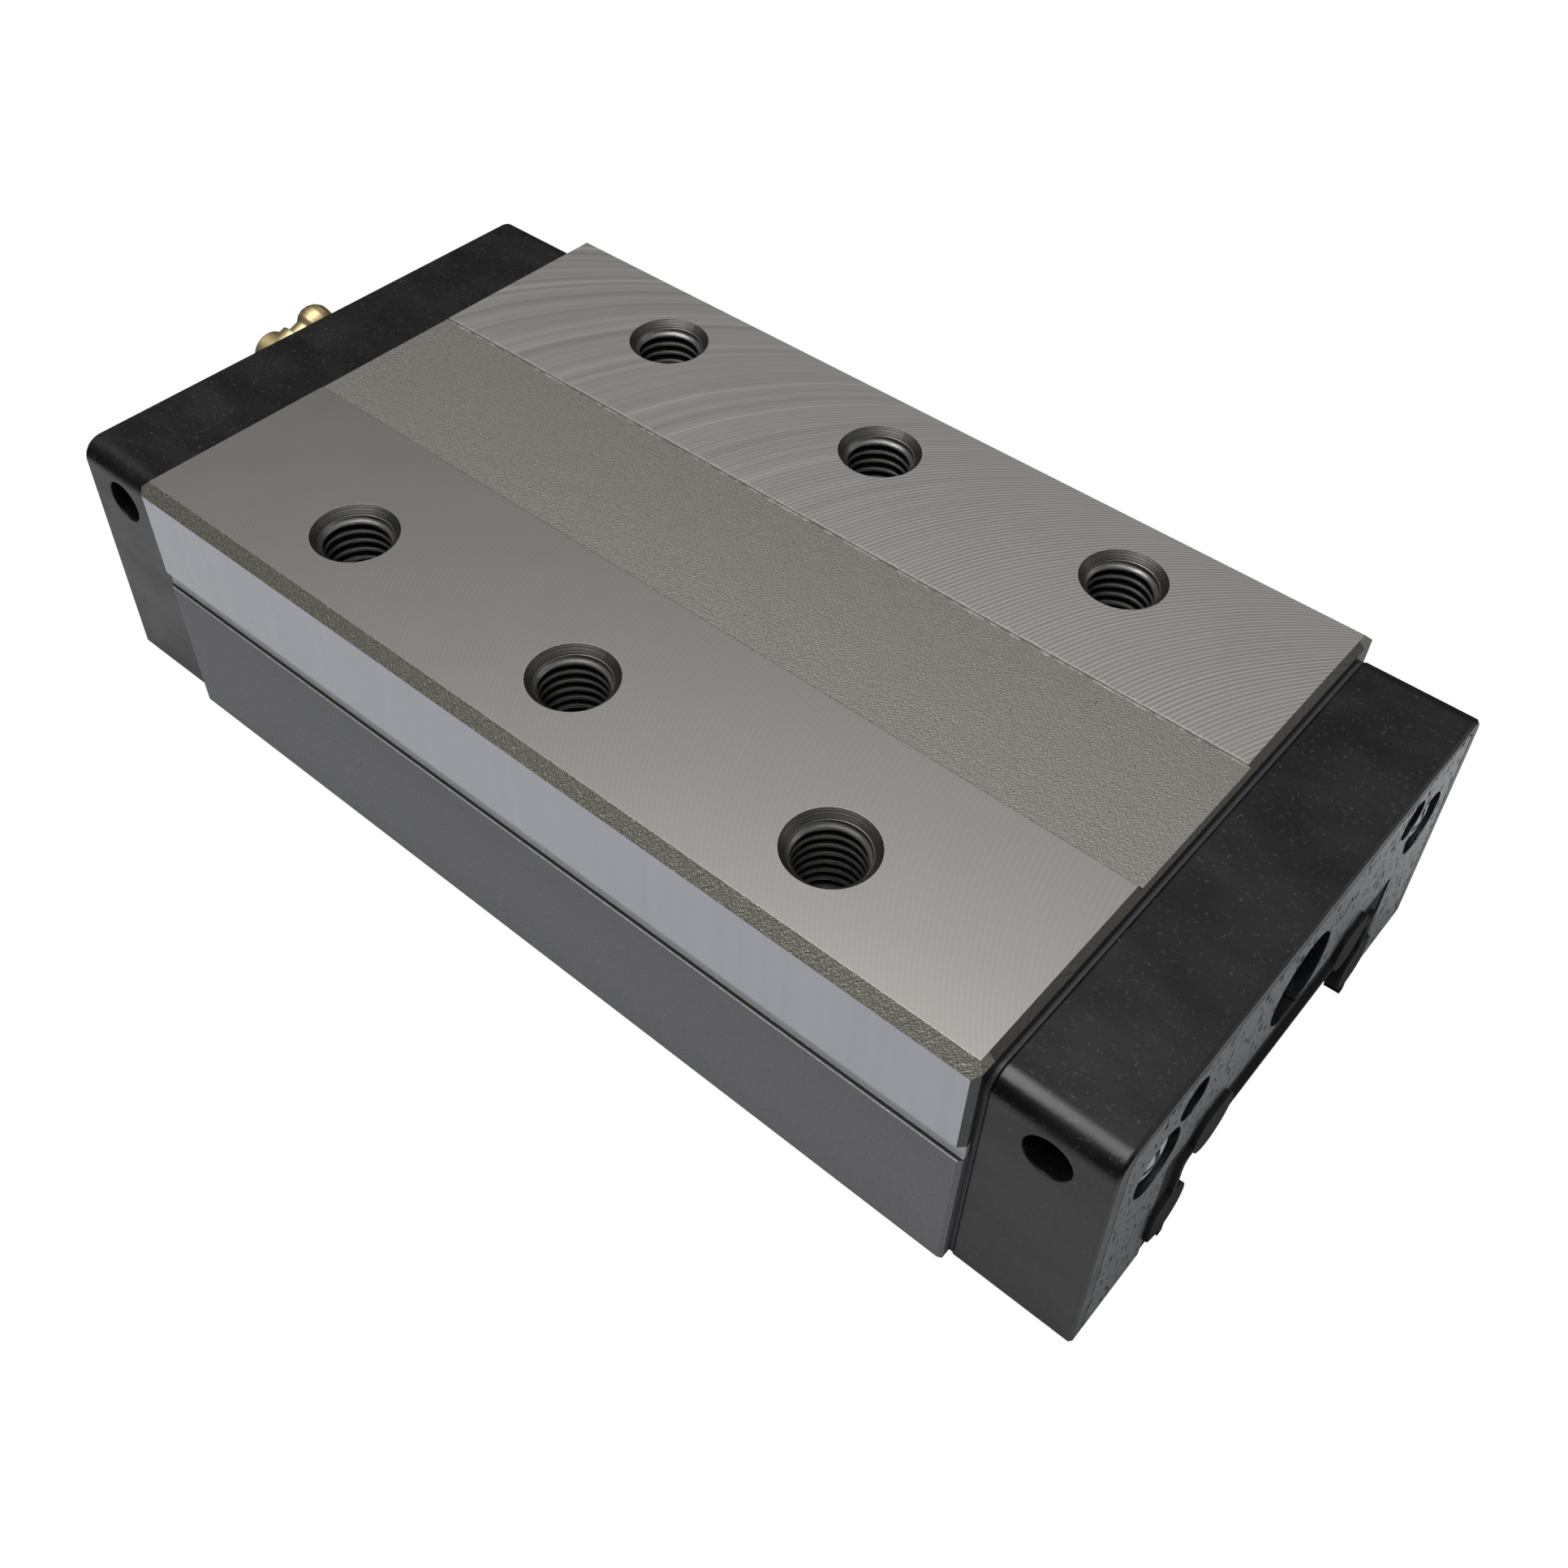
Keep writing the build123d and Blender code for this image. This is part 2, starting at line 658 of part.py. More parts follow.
def make_parts():
    """Every node of the block, by name."""
    parts = {
        "steel_body": make_steel_body(),
        "ball_retainer_centre": make_centre_retainer(),
        "nipple_elbow": make_nipple_elbow(),
        "nipple_head": make_nipple_head(),
        "nipple_check_ball": make_check_ball(),
        "nipple_spring": make_nipple_spring(),
    }
    near = {
        "return_plate": make_return_plate(),
        "end_cap": make_end_cap(),
        "end_seal": make_end_seal(),
        "seal_lip": make_seal_lip(),
        "end_screws": Compound([make_end_screw(place) for place in screw_places]),
    }
    for name, shape in near.items():
        parts[name + "_near"] = shape
        parts[name + "_far"] = to_far_end(shape)
    for name, side in sides.items():
        parts["ball_retainer_" + name] = make_side_retainer(side)
        parts["side_seal_" + name] = make_side_seal(side)
    for level, name, side in circuits:
        parts[f"balls_{level}_{name}"] = make_balls(level, side)
        parts[f"return_guide_{level}_{name}_near"] = make_return_guide(level, side)
        parts[f"return_guide_{level}_{name}_far"] = to_far_end(make_return_guide(level, -side))
    return parts


os.makedirs("parts", exist_ok=True)
for node, shape in make_parts().items():
    export_step(shape, f"parts/{node}.step")
    print(node, len(shape.solids()), round(shape.volume, 2))
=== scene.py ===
# %% [markdown]
# A linear guide block carries a machine's table along a rail. It is a ground steel body with six tapped
# holes, two black end caps with seal plates, four rows of balls inside, and a brass grease nipple.
# The solids come from the CAD model. This script gives them their finish, adds a few small surfaces that
# are too fine for the solids, and sets the light and the camera.

import json
import math

import bpy
import numpy as np
from mathutils import Matrix, Vector


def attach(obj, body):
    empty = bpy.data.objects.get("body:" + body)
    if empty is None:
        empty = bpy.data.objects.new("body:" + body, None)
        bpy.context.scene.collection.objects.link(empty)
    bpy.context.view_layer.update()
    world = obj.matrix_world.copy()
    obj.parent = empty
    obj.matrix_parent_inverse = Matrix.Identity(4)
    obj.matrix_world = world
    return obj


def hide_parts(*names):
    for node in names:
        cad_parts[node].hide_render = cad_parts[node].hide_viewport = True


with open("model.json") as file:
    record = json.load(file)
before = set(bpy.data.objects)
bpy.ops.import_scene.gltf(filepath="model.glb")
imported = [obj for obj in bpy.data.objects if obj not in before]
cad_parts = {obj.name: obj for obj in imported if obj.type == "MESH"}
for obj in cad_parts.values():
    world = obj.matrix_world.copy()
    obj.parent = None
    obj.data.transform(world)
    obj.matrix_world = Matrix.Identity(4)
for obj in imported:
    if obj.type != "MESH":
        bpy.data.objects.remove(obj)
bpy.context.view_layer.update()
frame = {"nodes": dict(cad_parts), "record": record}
print("nodes", len(frame["nodes"]))

# %% [markdown]
# Blender measures in metres, but a part of this size is easier to read in millimetres. All sizes below
# are in millimetres, and MM turns them into metres. Colours are written as the sRGB hex values that a
# picture shows. Shaders work with linear light, so one function turns the one into the other.

# %% Units and colours
MM = 0.001


def linear(hex_colour):
    """Linear colour: c / 12.92 near black, and ((c + 0.055) / 1.055) ^ 2.4 above that."""
    channels = [int(hex_colour[i:i + 2], 16) / 255 for i in (1, 3, 5)]
    return tuple(c / 12.92 if c <= 0.04045 else ((c + 0.055) / 1.055) ** 2.4 for c in channels) + (1.0,)


print("linear value of #808080", round(linear("#808080")[0], 3))

# %% [markdown]
# A material is a graph of nodes. It could be built in the shader editor by hand, but code shows which
# real size each number stands for. One function adds any node: it makes the settings, then sets or links
# the inputs in their order, counting only the ones that the settings leave open.
# A noise is given by 1 / s, where s is the size of its features in millimetres.

# %% One function for all nodes
COLOUR = {"data_type": "RGBA"}
LINES = {"noise_dimensions": "1D"}


def add_node(tree, kind, *values, out="", **settings):
    """Adds a node with its settings, fills its open inputs in order and gives one of its outputs."""
    made = tree.nodes.new("ShaderNode" + kind)
    for key, value in settings.items():
        setattr(made, key, value)
    for socket, value in zip([s for s in made.inputs if s.enabled], values):
        if isinstance(value, bpy.types.NodeSocket):
            tree.links.new(value, socket)
        elif value is not None:
            socket.default_value = linear(value) if isinstance(value, str) else value
    return next(s for s in made.outputs if s.enabled and out in ("", s.name))


# %% [markdown]
# Every finish on this part starts from the same things: the place of a point in millimetres, which way
# the surface faces there, and masks. A mask is a number from 0 to 1 that says where a finish lies.
# The alternative is painting the masks by hand on an unwrapped surface, but the part is so regular that
# limits on the place and the facing are sharper, and they stay right if the part changes.

# %% A finish with its masks
class Finish:
    """A material in the making, with the place (mm) and the facing of each point of the surface."""

    def __init__(self, name):
        self.material = bpy.data.materials.new(name)
        self.material.use_nodes = True
        self.tree = self.material.node_tree
        place = self.node("TexCoord", out="Object")
        self.place = self.node("VectorMath", place, (1 / MM,) * 3, operation="MULTIPLY")
        self.x, self.y, self.z = self.node("SeparateXYZ", self.place).node.outputs
        facing = self.node("NewGeometry", out="True Normal")
        self.nx, self.ny, self.nz = self.node("SeparateXYZ", facing).node.outputs

    def node(self, kind, *values, **settings):
        return add_node(self.tree, kind, *values, **settings)

    def over(self, value, limit, width=0.02):
        """1 where a value is over a limit, with a soft edge of the given width."""
        return self.node("MapRange", value, limit - width / 2, limit + width / 2, 0.0, 1.0)

    def under(self, value, limit, width=0.02):
        return self.node("Math", 1.0, self.over(value, limit, width), operation="SUBTRACT")

    def both(self, mask, *more):
        for other in more:
            mask = self.node("Math", mask, other, operation="MULTIPLY")
        return mask

    def finished(self, colour, roughness, normal, **constants):
        shader = self.tree.nodes["Principled BSDF"]
        for name, value in {"Base Color": colour, "Roughness": roughness, "Normal": normal}.items():
            if isinstance(value, bpy.types.NodeSocket):
                self.tree.links.new(value, shader.inputs[name])
            else:
                shader.inputs[name].default_value = value
        for name, value in constants.items():
            shader.inputs[name].default_value = value
        print("finish", self.material.name, "nodes", len(self.tree.nodes))
        return self.material


# %% [markdown]
# The steel body is one piece with several finishes. A machine rests on the two top strips, so they are
# ground or milled flat. The strip between them lies a little lower and is blasted. Each long side has a
# bright ground band that lines the block up, a relief groove under it, and a matt side below. The groove's
# wall is painted light, against the shade under the band, and its floor carries a line of painted shade.
# The chamfers between the top and the sides look hammered. Each zone is a mask made from the place and
# the facing of a point: z tells the recess from the strips, and a slanted face near the side is a chamfer.

# %% Zones of the steel body
STRIP_HALF_WIDTH = 12.0
TOP_Z, RECESS_Z, MOUTH_Z = -0.2, -0.6, -2.0
END_EDGE_Z = -0.35
BAND_BOTTOM_Z = -15.0
GROOVE_BOTTOM_Z = -18.2
GROOVE_FLOOR_Z = (-17.75, -18.05)
CHAMFER_X, LOWER_X, GROOVE_X, BAND_X = 40.0, 41.0, 41.5, 42.0


def steel_zones(g):
    """Masks of the steel body's zones."""
    across = g.node("Math", g.x, operation="ABSOLUTE")
    lengthwise = g.over(g.node("Math", g.ny, operation="ABSOLUTE"), 0.5)
    sideways = g.over(g.node("Math", g.nx, operation="ABSOLUTE"), 0.9)
    level = g.over(g.nz, 0.95)
    slanted = g.both(g.over(g.nz, 0.5), g.under(g.nz, 0.95))
    top = g.both(level, g.over(g.z, TOP_Z, 0.1))
    in_groove = g.both(g.over(across, GROOVE_X, 0.2), g.under(g.z, BAND_BOTTOM_Z, 0.05))
    floor_z = g.both(g.under(g.z, GROOVE_FLOOR_Z[0], 0.1), g.over(g.z, GROOVE_FLOOR_Z[1], 0.1))
    return {
        "left": g.both(top, g.under(g.x, 0.0)),
        "right": g.both(top, g.over(g.x, 0.0)),
        "recess": g.both(level, g.under(g.z, TOP_Z, 0.1), g.over(g.z, RECESS_Z, 0.1)),
        "chamfer": g.both(slanted, g.over(across, CHAMFER_X)),
        "mouth": g.both(slanted, g.under(across, CHAMFER_X), g.over(g.z, MOUTH_Z)),
        "band": g.both(sideways, g.over(across, BAND_X, 0.2), g.over(g.z, BAND_BOTTOM_Z, 0.05)),
        # In the groove the color stands in for light: its wall is painted light, and its floor is a line of
        # painted shade.
        "groove": g.both(in_groove, g.over(g.z, GROOVE_BOTTOM_Z, 0.1)),
        "groove_floor_shade": g.both(g.over(across, GROOVE_X, 0.2), floor_z),
        "lower": g.both(g.over(across, LOWER_X, 0.2), g.under(g.z, GROOVE_BOTTOM_Z, 0.1)),
        "end": lengthwise,
        "end_edge": g.both(g.over(g.z, END_EDGE_Z, 0.1), lengthwise),
        "end_bevel": g.both(lengthwise, g.over(g.nz, 0.5)),
    }


print("recess width", 2 * STRIP_HALF_WIDTH, "groove height", round(BAND_BOTTOM_Z - GROOVE_BOTTOM_Z, 2))

# %% [markdown]
# A wide milling cutter leaves arcs on the right strip, and they show best at its far end. An image of
# scratches would repeat, so the arcs are worked out: phase = y - sqrt(R^2 - (x + c)^2) is the same all
# along one arc of the cutter, and noise along the phase alone gives each arc its own depth.
# In the same way the distance from a hole's axis gives the turned rings in the mouths of the holes.
# The real grain of the blasted strip is under a tenth of a millimetre. That is too fine to show from where
# the camera stands, so it is drawn at about a quarter of a millimetre.

# %% Cutter arcs and hole rings
CUTTER_RADIUS = 57.0
CUTTER_OFFSET_X = 5.0
CUTTER_SWAY = 1.5
FEED_PER_TURN = 0.75
SCRATCH_SIZE = 0.45
BROAD_ARC_SIZE = 2.4
GRAIN_SIZE = 0.24
HAMMER_SIZE = 0.5
MOTTLE_SIZE = 9.0
RING_SIZE = 0.22
HOLE_X = 30.0
HOLE_PITCH_Y = 40.0


def cutter_phase(g):
    """phase = y - sqrt(R^2 - (x + c)^2) + sway * (noise - 1/2)."""
    wander = g.node("Math", g.node("TexNoise", g.place, 1 / 26.0, 1.0, 0.5), 0.5, operation="SUBTRACT")
    sway = g.node("Math", wander, CUTTER_SWAY, operation="MULTIPLY")
    reach = g.node("Math", g.x, CUTTER_OFFSET_X, operation="ADD")
    reach_squared = g.node("Math", reach, reach, operation="MULTIPLY")
    rise = g.node("Math", CUTTER_RADIUS ** 2, reach_squared, operation="SUBTRACT")
    rise = g.node("Math", rise, operation="SQRT")
    return g.node("Math", g.node("Math", g.y, rise, operation="SUBTRACT"), sway, operation="ADD")


def hole_distance(g):
    """Distance from the axis of the nearest mounting hole, whose rows repeat along y."""
    dx = g.node("Math", g.node("Math", g.x, operation="ABSOLUTE"), HOLE_X, operation="SUBTRACT")
    row = g.node("Math", g.y, HOLE_PITCH_Y, operation="DIVIDE")
    row = g.node("Math", g.node("Math", row, operation="ROUND"), HOLE_PITCH_Y, operation="MULTIPLY")
    dy = g.node("Math", g.y, row, operation="SUBTRACT")
    squares = [g.node("Math", d, d, operation="MULTIPLY") for d in (dx, dy)]
    return g.node("Math", g.node("Math", *squares, operation="ADD"), operation="SQRT")


def steel_patterns(g):
    """Numbers from 0 to 1 over the surface, one for each way in which the steel was worked."""
    phase = cutter_phase(g)
    turns = g.node("Math", phase, 2 * math.pi / FEED_PER_TURN, operation="MULTIPLY")
    wave = g.node("MapRange", g.node("Math", turns, operation="SINE"), -1.0, 1.0, 0.0, 1.0)
    fine_arcs = g.node("Mix", 0.5, g.node("TexNoise", phase, 1 / SCRATCH_SIZE, 3.0, 0.6, **LINES), wave)
    broad_arcs = g.node("TexNoise", phase, 1 / BROAD_ARC_SIZE, 2.0, 0.6, **LINES)
    nearness = g.node("MapRange", g.y, 40.0, -20.0, 0.0, 1.0)
    grain = g.node("TexNoise", g.place, 1 / GRAIN_SIZE, 2.0, 0.65)
    bend = g.node("Math", g.node("TexNoise", g.place, 1 / 1.6, 3.0, 0.5), 2.0, operation="MULTIPLY")
    slant = g.node("Math", g.node("Math", g.x, g.y, operation="ADD"), bend, operation="ADD")
    blows = g.node("TexNoise", slant, 1 / HAMMER_SIZE, 2.0, 0.6, **LINES)
    return {
        "fine_arcs": fine_arcs,
        "broad_arcs": broad_arcs,
        "arcs": g.node("Mix", nearness, broad_arcs, fine_arcs),
        "grain": grain,
        "hammered": g.node("Mix", 0.5, blows, grain),
        "mottle": g.node("TexNoise", g.place, 1 / MOTTLE_SIZE, 3.0, 0.5),
        "rings": g.node("TexNoise", hole_distance(g), 1 / RING_SIZE, 3.0, 0.6, **LINES),
    }


print("cutter radius", CUTTER_RADIUS, "feed", FEED_PER_TURN, "grain", GRAIN_SIZE)

# %% [markdown]
# The recess has two edges. On the right the cutter has left a thin bright burr that wanders, and on the
# left a dark line of painted shadow lies under the step. Both could be thin pieces of their own, but they
# have no height worth a mesh, so they are narrow masks beside the strips' edges. Noise is added to the
# distance from the burr's edge before the limit is taken, which makes a ragged line.

# %% Burr and painted step shadow
BURR_HALF_WIDTH, BURR_WANDER = 0.17, 1.1
STEP_SHADOW_HALF_WIDTH = 0.2


def recess_edges(g, recess):
    """Masks of the burr and the painted shadow line under the step: |x - edge + noise| under half a line's
    width.
    """
    wander = g.node("Math", g.node("TexNoise", g.place, 1 / 1.4, 3.0, 0.5), 0.5, operation="SUBTRACT")
    wander = g.node("Math", wander, BURR_WANDER, operation="MULTIPLY")
    burr = g.node("Math", g.x, STRIP_HALF_WIDTH + 0.1, operation="SUBTRACT")
    burr = g.node("Math", g.node("Math", burr, wander, operation="ADD"), operation="ABSOLUTE")
    burr = g.under(burr, BURR_HALF_WIDTH, 0.14)
    burr = g.both(burr, g.over(g.nz, 0.95), g.over(g.z, -1.0))
    # The dark line beside the step is painted shadow.
    step = g.node("Math", g.node("Math", g.x, STRIP_HALF_WIDTH - 0.14, operation="ADD"), operation="ABSOLUTE")
    return burr, g.both(g.under(step, STEP_SHADOW_HALF_WIDTH, 0.16), recess)


print("burr width", 2 * BURR_HALF_WIDTH, "step line width", 2 * STEP_SHADOW_HALF_WIDTH)


# %% [markdown]
# Now the zones are put together. Colours are laid over each other from the plainest to the smallest zone,
# like coats of paint, and the roughness in the same order. Ground steel is a metal with a roughness of
# 0.3 to 0.5. The blasted strip and the lower sides are rougher, and the datum band is the smoothest.
# Bumps are given by their real depth in millimetres.

# %% Steel of the body
def steel_colour(g, zone, pattern, burr, step):
    """Base colour of the steel, one coat over another."""
    specks = g.node("VectorMath", g.place, (7.0, 7.0, 7.0), operation="ADD")
    specks = g.node("MapRange", g.node("TexNoise", specks, 1 / 0.7, 2.0, 0.5), 0.74, 0.77, 0.0, 1.0)
    coats = [
        (zone["end"], "mottle", "#4a4c4a", "#5a5c5a"),
        (zone["end_bevel"], None, "#93978d", None),
        (zone["end_edge"], None, "#b3b3ac", None),
        (zone["left"], "fine_arcs", "#c2beb7", "#c9c5be"),
        (zone["right"], "arcs", "#a3a09b", "#d3d0cb"),
        (zone["recess"], "grain", "#86837c", "#b1aea6"),
        (g.both(zone["recess"], specks), None, "#6c6a64", None),
        # Painted shadow: the dark line under the step.
        (step, None, "#26241f", None),
        (burr, None, "#d6d4cb", None),
        (zone["chamfer"], "hammered", "#8a877b", "#b8b4a6"),
        (zone["mouth"], "rings", "#3c3b39", "#77756f"),
        (zone["band"], "broad_arcs", "#bebec4", "#c8c8ce"),
        # Painted light and shade in the relief groove: the wall is painted light where the band above shades
        # it, and the floor is painted dark as shade.
        (zone["groove"], None, "#d4d4d7", None),
        (zone["groove_floor_shade"], None, "#3f3f37", None),
        (zone["lower"], "grain", "#6e6e71", "#a6a6a9"),
        (g.node("Math", pattern["mottle"], 0.15, operation="MULTIPLY"), None, "#8a8882", None),
    ]
    colour = "#a5a5a5"
    for mask, name, dark, light in coats:
        coat = g.node("Mix", pattern[name], dark, light, **COLOUR) if name else dark
        colour = g.node("Mix", mask, colour, coat, **COLOUR)
    return colour


def steel_roughness(g, zone, pattern):
    """Roughness of the steel, one zone over another."""
    roughness = g.node("Mix", pattern["mottle"], 0.38, 0.46)
    roughness = g.node("Mix", zone["left"], roughness, g.node("Mix", pattern["mottle"], 0.31, 0.36))
    roughness = g.node("Mix", zone["right"], roughness, g.node("Mix", pattern["arcs"], 0.42, 0.54))
    for name, value in (("recess", 0.5), ("chamfer", 0.45), ("lower", 0.62), ("groove", 0.6), ("band", 0.26)):
        roughness = g.node("Mix", zone[name], roughness, value)
    return roughness


def steel_normal(g, zone, pattern):
    """Normal with each zone's pattern as a height of its real depth, over slightly rounded edges."""
    blasted = g.node("Math", zone["recess"], zone["lower"], operation="MAXIMUM")
    normal = g.node("Bevel", 0.05 * MM, samples=6)
    for mask, name, depth in ((zone["right"], "arcs", 0.012), (zone["left"], "fine_arcs", 0.002),
                              (blasted, "grain", 0.08), (zone["chamfer"], "hammered", 0.14),
                              (zone["mouth"], "rings", 0.03)):
        height = g.node("Math", mask, pattern[name], operation="MULTIPLY")
        normal = g.node("Bump", 1.0, depth * MM, None, height, normal)
    return normal


def make_steel():
    g = Finish("ground_and_blasted_steel")
    zone = steel_zones(g)
    pattern = steel_patterns(g)
    burr, step = recess_edges(g, zone["recess"])
    colour = steel_colour(g, zone, pattern, burr, step)
    return g.finished(colour, steel_roughness(g, zone, pattern), steel_normal(g, zone, pattern), Metallic=1.0)


steel = make_steel()

# %% [markdown]
# The end caps turn the balls round and hold the grease. They are moulded black plastic, filled with short
# light fibres that show on the skin as fine hairs. Thin winding lines are where a noise crosses its
# middle value, and a second noise keeps only short pieces of them. Broad soft flow marks from the
# moulding change the colour and the gloss a little.

# %% Moulded plastic of the end caps
def make_cap_plastic():
    g = Finish("black_moulded_plastic")
    winding = g.node("Math", g.node("TexNoise", g.place, 1 / 0.8, 1.0, 0.5), 0.5, operation="SUBTRACT")
    winding = g.node("Math", winding, operation="ABSOLUTE")
    elsewhere = g.node("VectorMath", g.place, (5.0, 5.0, 5.0), operation="ADD")
    pieces = g.over(g.node("TexNoise", elsewhere, 1 / 0.7, 1.0, 0.5), 0.60, 0.06)
    hairs = g.both(g.under(winding, 0.014, 0.014), pieces)
    along = g.node("VectorMath", g.place, (1.0, 1 / 2.0, 1.0), operation="MULTIPLY")
    flow = g.node("MapRange", g.node("TexNoise", along, 1 / 6.0, 5.0, 0.5), 0.35, 0.65, 0.0, 1.0)
    colour = g.node("Mix", flow, "#070606", "#171615", **COLOUR)
    hair_share = g.node("Math", hairs, 0.28, operation="MULTIPLY")
    colour = g.node("Mix", hair_share, colour, "#7a7976", **COLOUR)
    skin = g.node("TexNoise", g.place, 1 / 0.6, 3.0, 0.5)
    normal = g.node("Bump", 1.0, 0.012 * MM, None, skin, g.node("Bevel", 0.4 * MM, samples=6))
    return g.finished(colour, g.node("Mix", flow, 0.26, 0.38), normal, IOR=1.5)


cap_plastic = make_cap_plastic()

# %% [markdown]
# A steel plate with a skin of moulded rubber closes each end. The skin is smooth and glossy, so it shows
# pale reflections, broken by small dark pits that are taller than they are wide.
# The lips in its mouth wipe the rail. They are softer rubber, matt and black.

# %% Rubber of the end seals
def make_seal_plate():
    g = Finish("moulded_rubber_on_steel_plate")
    upright = g.node("VectorMath", g.place, (1.0, 1.0, 1 / 0.5), operation="MULTIPLY")
    wear = g.node("TexNoise", upright, 1 / 1.2, 4.0, 0.5)
    tall = g.node("VectorMath", g.place, (1.0, 1.0, 1 / 2.2), operation="MULTIPLY")
    pits = g.node("MapRange", g.node("TexNoise", tall, 1 / 0.7, 4.0, 0.5), 0.58, 0.66, 0.0, 1.0)
    colour = g.node("Mix", wear, "#191a1c", "#2c2d30", **COLOUR)
    colour = g.node("Mix", pits, colour, "#050506", **COLOUR)
    roughness = g.node("Mix", pits, g.node("Mix", wear, 0.12, 0.26), 0.8)
    waves = g.node("TexNoise", g.place, 1 / 1.5, 2.0, 0.5)
    normal = g.node("Bump", 1.0, 0.012 * MM, None, waves, g.node("Bevel", 0.2 * MM, samples=6))
    return g.finished(colour, roughness, normal, IOR=1.5)


def make_lip_rubber():
    g = Finish("nitrile_rubber")
    colour = g.node("Mix", g.node("TexNoise", g.place, 1 / 2.0, 3.0, 0.5), "#090909", "#131313", **COLOUR)
    skin = g.node("TexNoise", g.place, 1 / 0.7, 3.0, 0.5)
    normal = g.node("Bump", 1.0, 0.08 * MM, None, skin, g.node("Bevel", 0.6 * MM, samples=6))
    return g.finished(colour, 0.75, normal, IOR=1.45)


seal_plate_rubber = make_seal_plate()
lip_rubber = make_lip_rubber()

# %% [markdown]
# The return plates and the ball retainers are plain moulded plastic, mostly hidden. One function with
# two colours is enough for both: a faint cloudiness and a fine grain from the mould.

# %% Plain moulded plastic
def make_plain_plastic(name, dark, light):
    g = Finish(name)
    colour = g.node("Mix", g.node("TexNoise", g.place, 1 / 3.0, 3.0, 0.5), dark, light, **COLOUR)
    skin = g.node("TexNoise", g.place, 1 / 0.4, 2.0, 0.5)
    normal = g.node("Bump", 1.0, 0.01 * MM, None, skin, g.node("Bevel", 0.2 * MM, samples=6))
    return g.finished(colour, 0.45, normal, IOR=1.5)


plate_plastic = make_plain_plastic("grey_moulded_plastic", "#3a3a3c", "#4a4a4d")
retainer_plastic = make_plain_plastic("black_retainer_plastic", "#202021", "#2c2c2e")

# %% [markdown]
# The grease nipple is turned from brass. It isn't polished, so it glows softly instead of mirroring, and
# a slow change from pale to darker yellow stands for tarnish. The edges are broken by half a millimetre.

# %% Turned brass
def make_brass():
    g = Finish("turned_brass")
    tarnish = g.node("TexNoise", g.place, 1 / 2.2, 4.0, 0.5)
    colour = g.node("Mix", tarnish, "#d9c79a", "#bfa978", **COLOUR)
    roughness = g.node("Mix", tarnish, 0.40, 0.50)
    return g.finished(colour, roughness, g.node("Bevel", 0.5 * MM, samples=6), Metallic=1.0)


brass = make_brass()

# %% [markdown]
# Bearing balls are polished until they mirror, so their roughness is near zero. The nipple's spring is
# drawn wire with a duller skin. Both are bare steel otherwise, so they share a function.

# %% Balls and spring wire
def make_bright_steel(name, dark, light, roughness):
    g = Finish(name)
    marks = g.node("TexNoise", g.place, 1 / 0.7, 4.0, 0.5)
    colour = g.node("Mix", marks, dark, light, **COLOUR)
    skin = g.node("TexNoise", g.place, 1 / 0.35, 2.0, 0.5)
    normal = g.node("Bump", 1.0, 0.006 * MM, None, skin, g.node("Bevel", 0.15 * MM, samples=6))
    return g.finished(colour, g.node("Mix", marks, roughness, roughness + 0.12), normal, Metallic=1.0)


ball_steel = make_bright_steel("polished_bearing_steel", "#c4c4c6", "#d2d2d4", 0.06)
spring_steel = make_bright_steel("drawn_spring_steel", "#9b9b9b", "#b5b5b5", 0.28)

# %% [markdown]
# Two nickel plated screws hold each cap. Their cross recess is cut in the solid head, but the domes that
# stand on the heads further down cover it. So the cross is drawn again in the material at the place and
# size of the real one: sunk by a bump, and painted dark as the shade inside the recess. With dx and dz
# measured from the screw's axis, a point is in the cross where the smaller of the two is under half its
# width and the larger one is under its reach.

# %% Plated screws
SCREW_X, SCREW_Z = 31.2, -13.9
CROSS_HALF_WIDTH, CROSS_REACH = 0.5, 2.2
CROSS_DEPTH = 0.4


def make_screw_steel():
    g = Finish("nickel_plated_steel")
    marks = g.node("TexNoise", g.place, 1 / 0.7, 4.0, 0.5)
    colour = g.node("Mix", marks, "#d6d6d2", "#ececea", **COLOUR)
    across = g.node("Math", g.node("Math", g.x, operation="ABSOLUTE"), SCREW_X, operation="SUBTRACT")
    across = g.node("Math", across, operation="ABSOLUTE")
    up = g.node("Math", g.node("Math", g.z, SCREW_Z, operation="SUBTRACT"), operation="ABSOLUTE")
    narrow = g.under(g.node("Math", across, up, operation="MINIMUM"), CROSS_HALF_WIDTH, 0.15)
    cross = g.both(narrow, g.under(g.node("Math", across, up, operation="MAXIMUM"), CROSS_REACH, 0.2))
    # Painted shade: the cross recess is painted dark.
    colour = g.node("Mix", cross, colour, "#1c1c1c", **COLOUR)
    height = g.node("Math", 1.0, cross, operation="SUBTRACT")
    normal = g.node("Bump", 1.0, CROSS_DEPTH * MM, None, height, g.node("Bevel", 1.2 * MM, samples=6))
    return g.finished(colour, g.node("Mix", marks, 0.38, 0.5), normal, Metallic=1.0)


screw_steel = make_screw_steel()

# %% [markdown]
# In the six tapped holes the crests of the threads are bright, and the roots are painted dark as shade
# between the ridges. How far a point lies from its hole's axis tells the one from the other, so the color
# needs no second pattern that could slip against the real ridges. The first turns, near the mouth, are
# bright all over: the painted shade starts a little deeper in the hole.

# %% Steel of the threads
THREAD_CREST_RADIUS = 4.3
THREAD_TOP_Z = -1.0


